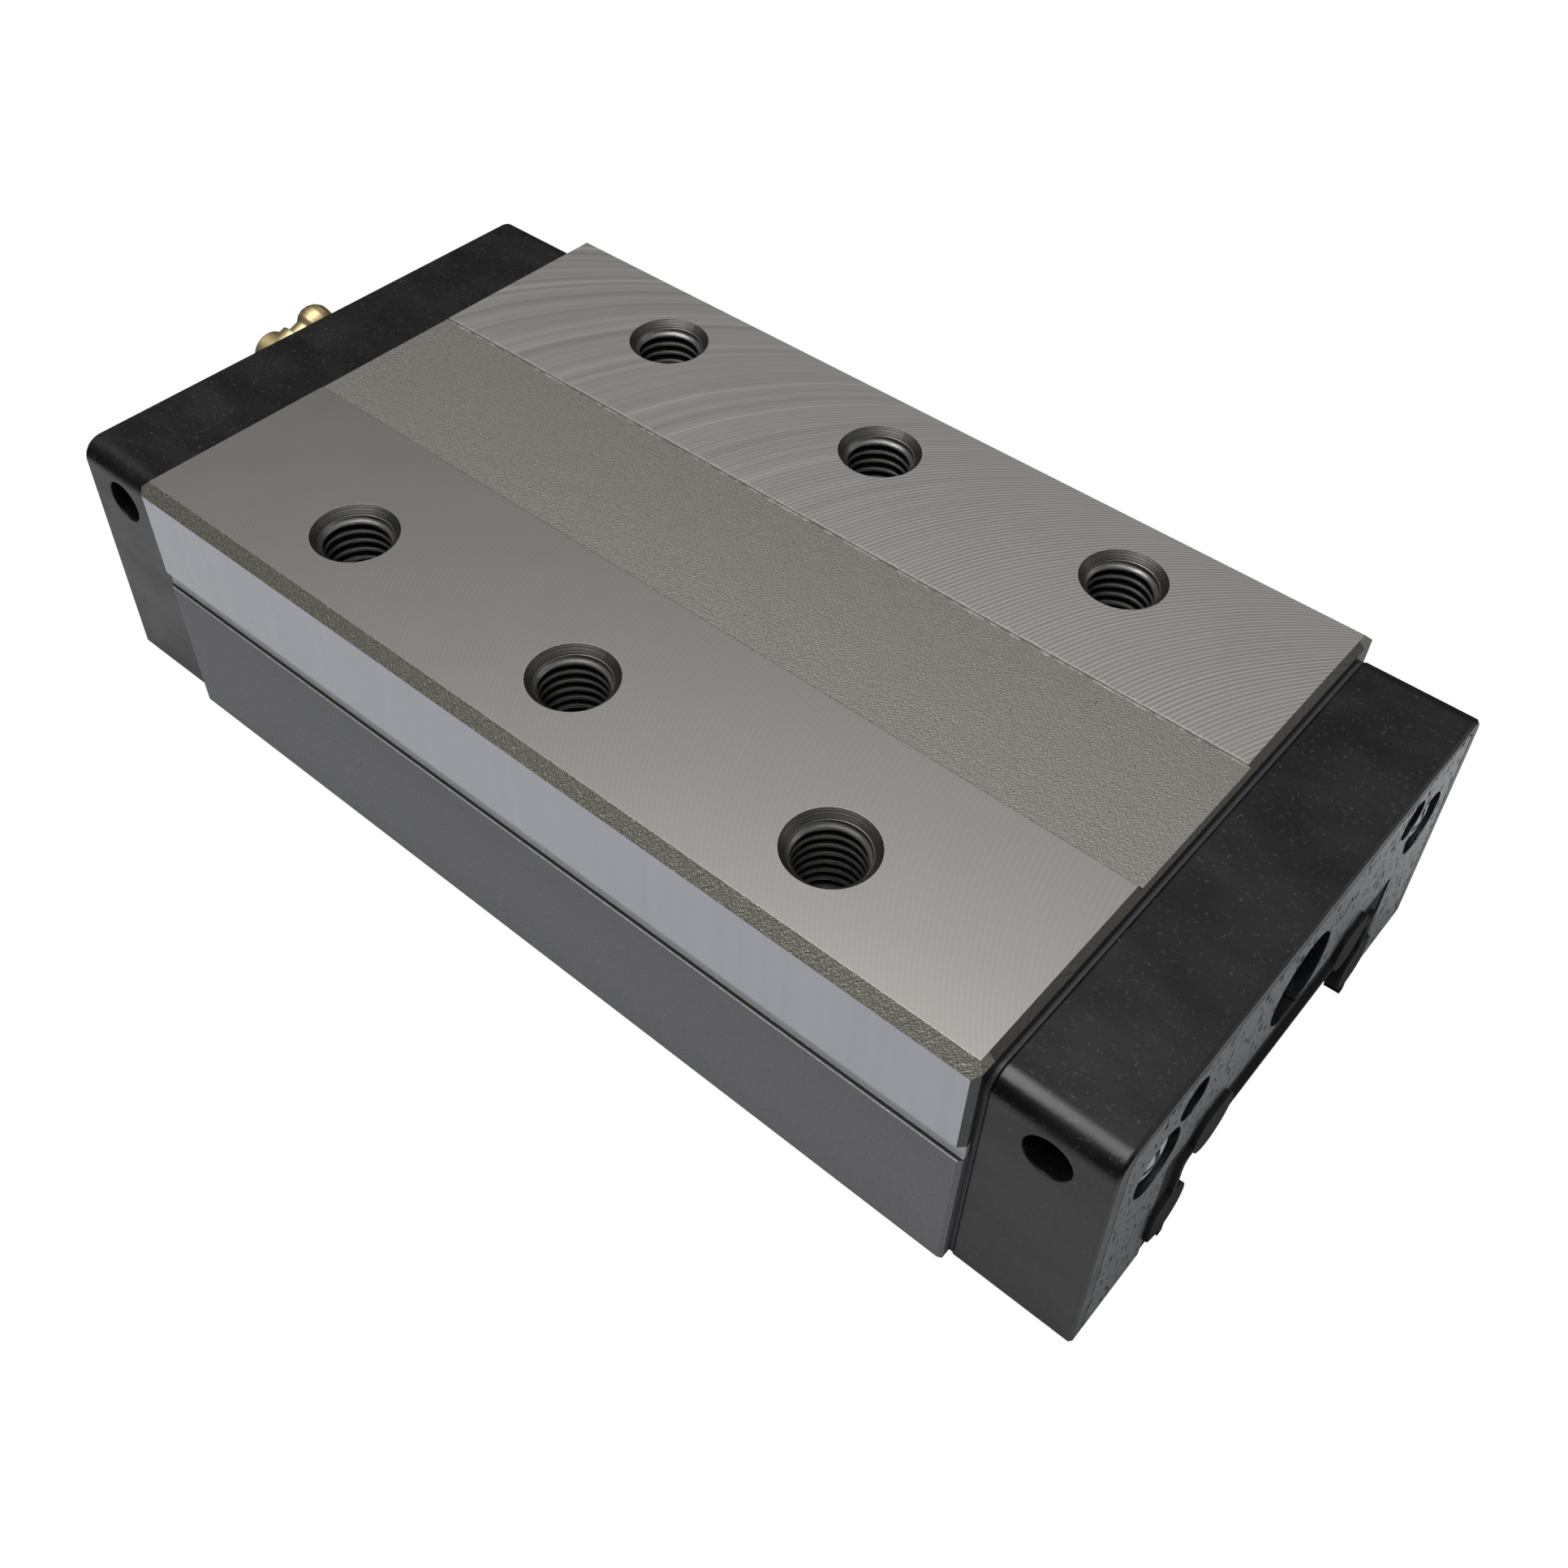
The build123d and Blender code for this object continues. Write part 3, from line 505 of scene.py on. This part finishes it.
def make_thread_steel():
    g = Finish("tapped_steel")
    start, end = THREAD_CREST_RADIUS + 0.06, THREAD_CREST_RADIUS + 0.3
    # Painted shade: the roots of the threads, below the first turns, are painted dark.
    painted_root_shade = g.node("MapRange", hole_distance(g), start, end, 0.0, 1.0)
    painted_root_shade = g.both(painted_root_shade, g.under(g.z, THREAD_TOP_Z - 1.2, 0.4))
    colour = g.node("Mix", painted_root_shade, "#a5a39e", "#161514", **COLOUR)
    cut = g.node("TexNoise", g.place, 1 / 0.5, 3.0, 0.5)
    return g.finished(colour, 0.36, g.node("Bump", 1.0, 0.02 * MM, None, cut), Metallic=1.0)


thread_steel = make_thread_steel()

# %% [markdown]
# Every CAD piece keeps its mesh. It takes the finish of its slot, the word in the part's record that says
# what it is made of, so pieces of one material can't differ by mistake.

# %% Finishes on the CAD pieces
by_slot = {
    "ground_steel": steel,
    "cap_plastic": cap_plastic,
    "return_plate_plastic": plate_plastic,
    "seal_plate_rubber": seal_plate_rubber,
    "seal_lip_rubber": lip_rubber,
    "screw_steel": screw_steel,
    "retainer_plastic": retainer_plastic,
    "ball_steel": ball_steel,
    "spring_steel": spring_steel,
    "brass": brass,
}
slot_of = {row["node"]: row["material_slot"] for row in frame["record"]["subparts"]}
for node, thing in frame["nodes"].items():
    thing.data.materials.clear()
    thing.data.materials.append(by_slot[slot_of[node]])
print("slots", len(by_slot), "pieces", len(slot_of))


# %% [markdown]
# New pieces are surfaces worked out with numpy. A shape is an array of points, with one row for each step
# along it, and the faces are worked out from the points' numbers in one go. A loop over the points would
# give the same mesh, but it is slow and hides the formula. Each new piece rides on a body of the frame.

# %% Meshes from arrays
def mesh_piece(name, points, faces, material, body):
    """Mesh of points (n, 3) in millimetres and faces (m, 3 or 4), carried by a body."""
    mesh = bpy.data.meshes.new(name)
    mesh.vertices.add(len(points))
    mesh.vertices.foreach_set("co", (np.asarray(points) * MM).ravel())
    mesh.loops.add(faces.size)
    mesh.loops.foreach_set("vertex_index", faces.ravel())
    mesh.polygons.add(len(faces))
    mesh.polygons.foreach_set("loop_start", np.arange(len(faces)) * faces.shape[1])
    mesh.update(calc_edges=True)
    mesh.validate()
    mesh.polygons.foreach_set("use_smooth", [True] * len(faces))
    mesh.materials.append(material)
    thing = bpy.data.objects.new(name, mesh)
    bpy.context.collection.objects.link(thing)
    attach(thing, body)
    return thing


def ring_piece(name, points, material, body):
    """Mesh over an array of points (rows, columns, 3), closed in both directions like a tyre."""
    rows, columns = points.shape[:2]
    index = np.arange(rows * columns).reshape(rows, columns)
    index = np.vstack([index, index[:1]])
    index = np.hstack([index, index[:, :1]])
    quads = np.stack([index[:-1, :-1], index[:-1, 1:], index[1:, 1:], index[1:, :-1]], -1).reshape(-1, 4)
    return mesh_piece(name, points.reshape(-1, 3), quads, material, body)


# %% [markdown]
# The balls carry the load. Each of the four circuits is a closed loop: along the raceway, round a half
# turn in one cap, back through a bore and round the other cap. The CAD model's balls are faceted, to keep
# it light, so a true sphere takes the place of each. All balls of a circuit are one piece.
# A ball's place follows from its distance d along the loop, which has two straights and two half turns.

# %% Places of the balls
HALF_LENGTH = 69.4
BALL_RADIUS = 3.969
BALLS_PER_CIRCUIT = 39
TURN_RADIUS = 6.0
TURN_START = 0.6
UPPER_ROW = (16.75, -23.5)
LOWER_ROW = (23.6, -34.6)
LOWER_TILT = math.radians(15)


def circuit_places(level, side):
    """Centres of one circuit's balls: y = d on a straight, and R sin(d / R) beyond its end on a turn."""
    x0, z0 = UPPER_ROW if level == "upper" else LOWER_ROW
    angle = math.pi / 2 if level == "upper" else LOWER_TILT
    x1, z1 = x0 + 2 * TURN_RADIUS * math.cos(angle), z0 + 2 * TURN_RADIUS * math.sin(angle)
    straight, bend = 2 * (HALF_LENGTH + TURN_START), math.pi * TURN_RADIUS
    d = np.arange(BALLS_PER_CIRCUIT) * 2 * (straight + bend) / BALLS_PER_CIRCUIT
    first, second = d < straight, (d >= straight + bend) & (d < 2 * straight + bend)
    turned = np.where(d < straight + bend, d - straight, d - 2 * straight - bend) / TURN_RADIUS
    far = np.where(d < straight + bend, 1.0, -1.0)
    y = far * (straight / 2 + TURN_RADIUS * np.sin(turned))
    share = (1 - far * np.cos(turned)) / 2
    y = np.where(first, d - straight / 2, np.where(second, straight * 1.5 + bend - d, y))
    share = np.where(first, 0.0, np.where(second, 1.0, share))
    return np.stack([side * (x0 + (x1 - x0) * share), y, z0 + (z1 - z0) * share], -1)


print("first ball of the upper right circuit", circuit_places("upper", 1)[0].round(2))


# %% [markdown]
# A sphere is made once, from rings between its poles, and copied to every place by adding arrays. It has
# 288 triangles: enough to look round at this size, and few enough for 156 balls.

# %% Smooth balls
def sphere(rings=10, segments=16):
    """Unit sphere: (sin a cos b, sin a sin b, cos a), with one point at each pole."""
    up = np.linspace(0, math.pi, rings + 1)[1:-1]
    around = np.arange(segments) * 2 * math.pi / segments
    a, b = np.meshgrid(up, around, indexing="ij")
    points = np.stack([np.sin(a) * np.cos(b), np.sin(a) * np.sin(b), np.cos(a)], -1).reshape(-1, 3)
    points = np.vstack([points, [0, 0, 1], [0, 0, -1]])
    index = np.arange((rings - 1) * segments).reshape(rings - 1, segments)
    after = np.roll(index, -1, axis=1)
    top, bottom = len(points) - 2, len(points) - 1
    walls = [np.stack([index[:-1], index[1:], after[1:]], -1),
             np.stack([index[:-1], after[1:], after[:-1]], -1)]
    caps = [np.stack([np.full(segments, top), index[0], after[0]], -1),
            np.stack([np.full(segments, bottom), after[-1], index[-1]], -1)]
    return points, np.vstack([w.reshape(-1, 3) for w in walls] + caps)


ball_points, ball_faces = sphere()
for level in ("upper", "lower"):
    for name, side in (("left", -1), ("right", 1)):
        places = circuit_places(level, side)
        points = (places[:, None, :] + ball_points[None] * BALL_RADIUS).reshape(-1, 3)
        faces = (np.arange(len(places))[:, None, None] * len(ball_points) + ball_faces[None]).reshape(-1, 3)
        circuit = mesh_piece(f"smooth_balls_{level}_{name}", points, faces, ball_steel, "block")
        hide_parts(f"balls_{level}_{name}")
        print(circuit.name, "balls", len(places), "triangles", len(faces))


# %% [markdown]
# The cap screws have low domed heads that come nearly flush with the seal plate. Each dome is a lens that
# stands on the flat head of the solid: a round grid whose height falls with the square of the radius.
# The last two rows lead back across the base, so the lens is closed.

# %% Screw head domes
DOME_RADIUS = 3.3
DOME_RISE = 0.55
DOME_BASE_Y = HALF_LENGTH + 15.75
POLE_RADIUS = 0.01


def dome(x, end, rings=8, segments=32):
    """Closed lens: out(r) = base + rise * (1 - (r / R)^2) on the outside, and flat at its base."""
    face = np.linspace(POLE_RADIUS, DOME_RADIUS, rings)
    r = np.concatenate([face, [DOME_RADIUS, POLE_RADIUS]])
    out = np.concatenate([DOME_BASE_Y + DOME_RISE * (1 - (face / DOME_RADIUS) ** 2), [DOME_BASE_Y] * 2])
    a = np.arange(segments) * 2 * math.pi / segments
    across = x + r[:, None] * np.cos(a)[None]
    up = SCREW_Z + r[:, None] * np.sin(a)[None]
    return np.stack([across, np.broadcast_to(end * out[:, None], across.shape), up], -1)


for end_name, end in (("near", -1), ("far", 1)):
    for name, x in (("left", -SCREW_X), ("right", SCREW_X)):
        outward = dome(x, end)[:, ::end]
        head = ring_piece(f"screw_dome_{end_name}_{name}", outward, screw_steel, "block")
        print(head.name, "triangles", len(head.data.polygons) * 2)

# %% [markdown]
# The holes have M10 threads. A thread could be cut from the steel body, but that would change a CAD piece,
# so each hole gets a ridged sleeve inside its wall. The radius is a triangle wave of z / pitch - a / 2 pi,
# which is what makes a helix: one turn of the angle moves the ridge by one pitch.
# The ridges fade in over the first millimetre, as they do behind a countersink.

# %% Threads
THREAD_PITCH = 1.5
THREAD_BOTTOM_Z = -16.6
THREAD_LEAD_IN = 0.9
HOLE_WALL_RADIUS = 5.0
THREAD_ROOT_RADIUS = HOLE_WALL_RADIUS - 0.04


def thread_ring(cx, cy, segments=48, steps_per_turn=8):
    """Closed ring: r(z, a) = crest + depth * triangle wave of (z / pitch - a / 2 pi), backed by the wall."""
    steps = int((THREAD_TOP_Z - THREAD_BOTTOM_Z) / THREAD_PITCH * steps_per_turn)
    z = np.linspace(THREAD_TOP_Z, THREAD_BOTTOM_Z, steps)
    a = np.arange(segments) * 2 * math.pi / segments
    turn = (z[:, None] / THREAD_PITCH - a[None] / (2 * math.pi)) % 1.0
    wave = np.clip(np.abs(turn - 0.5) * 2.3 - 0.15, 0, 1)
    radius = THREAD_CREST_RADIUS + (THREAD_ROOT_RADIUS - THREAD_CREST_RADIUS) * wave
    lead_in = np.clip((z - THREAD_TOP_Z + THREAD_LEAD_IN) / THREAD_LEAD_IN, 0, 1)[:, None]
    radius = radius + (THREAD_ROOT_RADIUS - 0.02 - radius) * lead_in
    back = np.full((2, segments), HOLE_WALL_RADIUS - 0.01)
    radius = np.vstack([radius, back])
    z = np.concatenate([z, [THREAD_BOTTOM_Z, THREAD_TOP_Z]])
    x = cx + radius * np.cos(a)[None]
    y = cy + radius * np.sin(a)[None]
    return np.stack([x, y, np.broadcast_to(z[:, None], x.shape)], -1)


for column, cx in (("left", -HOLE_X), ("right", HOLE_X)):
    for row, cy in (("near", -HOLE_PITCH_Y), ("middle", 0.0), ("far", HOLE_PITCH_Y)):
        ring = ring_piece(f"thread_{column}_{row}", thread_ring(cx, cy), thread_steel, "block")
print("thread triangles", len(ring.data.polygons) * 2, "each")

# %% [markdown]
# The camera stands where the photograph was taken. Its place, turn and focal length were found by fitting
# the holes and edges of the part to the picture, which is surer than turning a camera by eye.
# The turn is a vector: its direction is the axis, and its length is the angle in radians.

# %% Camera
EYE = (-123.725, -107.372, 139.361)
TURN = (2.23616, -1.02288, 0.42569)
FOCAL_PIXELS = 2022.192
PHOTO_PIXELS = 1932
SENSOR_WIDTH = 36.0


def make_camera():
    """Camera from its fitted place, turn and focal length, with its view turned to point down the lens."""
    data = bpy.data.cameras.new("camera")
    camera = bpy.data.objects.new("camera", data)
    bpy.context.collection.objects.link(camera)
    to_lens = Matrix.Rotation(Vector(TURN).length, 3, Vector(TURN))
    flip = Matrix(((1, 0, 0), (0, -1, 0), (0, 0, -1)))
    camera.matrix_world = Matrix.Translation(Vector(EYE) * MM) @ (flip @ to_lens).transposed().to_4x4()
    data.sensor_width = SENSOR_WIDTH
    data.lens = FOCAL_PIXELS / PHOTO_PIXELS * SENSOR_WIDTH
    data.clip_start, data.clip_end = 0.01, 20.0
    bpy.context.scene.camera = camera
    print("focal length", round(data.lens, 2))


make_camera()


# %% [markdown]
# Metal shows what is around it, so the surroundings matter as much as the lamps. The block rests on a
# small pale floor, which lights its sides from below and leaves a dark horizon behind it. The camera looks
# through the floor at the white background, and only the other rays meet it.
# The sky is strongest overhead and almost dark at the horizon. That is what makes the top face bright
# towards the camera and darker away from it, as in a studio with one soft ceiling light.

# %% Floor and sky
FLOOR_Z = -41.05
FLOOR_REACH = (0.11, 0.16)
SKY_OVERHEAD = 1.45
SKY_HORIZON = 0.07
SKY_FALL = 4.0


def for_camera(tree, shader, plain):
    """Gives a plain shader to the camera's own rays, and the given shader to every other ray."""
    seen = add_node(tree, "LightPath", out="Is Camera Ray")
    return add_node(tree, "MixShader", seen, shader, plain)


def make_floor():
    mesh = bpy.data.meshes.new("floor")
    (x, y), z = FLOOR_REACH, FLOOR_Z * MM
    mesh.from_pydata([(-x, -y, z), (x, -y, z), (x, y, z), (-x, y, z)], [], [(0, 1, 2, 3)])
    floor = bpy.data.objects.new("floor", mesh)
    bpy.context.collection.objects.link(floor)
    material = bpy.data.materials.new("pale_floor")
    material.use_nodes = True
    tree = material.node_tree
    shader = tree.nodes["Principled BSDF"]
    shader.inputs["Base Color"].default_value = linear("#cfcfcf")
    shader.inputs["Roughness"].default_value = 0.9
    seen = for_camera(tree, shader.outputs[0], add_node(tree, "BsdfTransparent", "#ffffff"))
    tree.links.new(seen, tree.nodes["Material Output"].inputs["Surface"])
    mesh.materials.append(material)


def make_sky():
    """Sky for the reflections: strength = horizon + overhead * height^4, for a ray's height from 0 to 1."""
    world = bpy.data.worlds.new("sky")
    bpy.context.scene.world = world
    world.use_nodes = True
    tree = world.node_tree
    ray = add_node(tree, "SeparateXYZ", add_node(tree, "TexCoord", out="Generated"))
    height = add_node(tree, "Math", ray.node.outputs["Z"], 0.0, operation="MAXIMUM")
    height = add_node(tree, "Math", height, SKY_FALL, operation="POWER")
    strength = add_node(tree, "Math", height, SKY_OVERHEAD, SKY_HORIZON, operation="MULTIPLY_ADD")
    sky = tree.nodes["Background"]
    sky.inputs["Color"].default_value = linear("#d9dce0")
    tree.links.new(strength, sky.inputs["Strength"])
    seen = for_camera(tree, sky.outputs[0], add_node(tree, "Background", "#ffffff", 1.0))
    tree.links.new(seen, tree.nodes["World Output"].inputs["Surface"])


make_floor()
make_sky()
print("floor", FLOOR_REACH, "sky from", SKY_HORIZON, "to", SKY_HORIZON + SKY_OVERHEAD)


# %% [markdown]
# Two soft lamps finish the light. The large one overhead gives the top its brightness and draws the
# pale band along the rounded edge of the cap. The dim one stands low, in front of the near end, so that
# the end seal doesn't drown in black. Sizes and places are in metres.

# %% Lamps
def make_lamp(name, place, aim, size, watts):
    data = bpy.data.lights.new(name, "AREA")
    data.shape = "RECTANGLE"
    data.size, data.size_y = size
    data.energy = watts
    lamp = bpy.data.objects.new(name, data)
    bpy.context.collection.objects.link(lamp)
    lamp.location = place
    lamp.rotation_euler = (Vector(aim) - Vector(place)).to_track_quat("-Z", "Y").to_euler()
    print(name, watts, "W")


make_lamp("lamp_over", (-0.22, 0.2, 1.1), (0, 0, 0), (0.82, 0.9), 9)
make_lamp("lamp_fill", (0.8, -0.95, 0.25), (0, -0.05, -0.01), (0.9, 0.5), 1.0)
bpy.context.scene.view_settings.view_transform = "Standard"
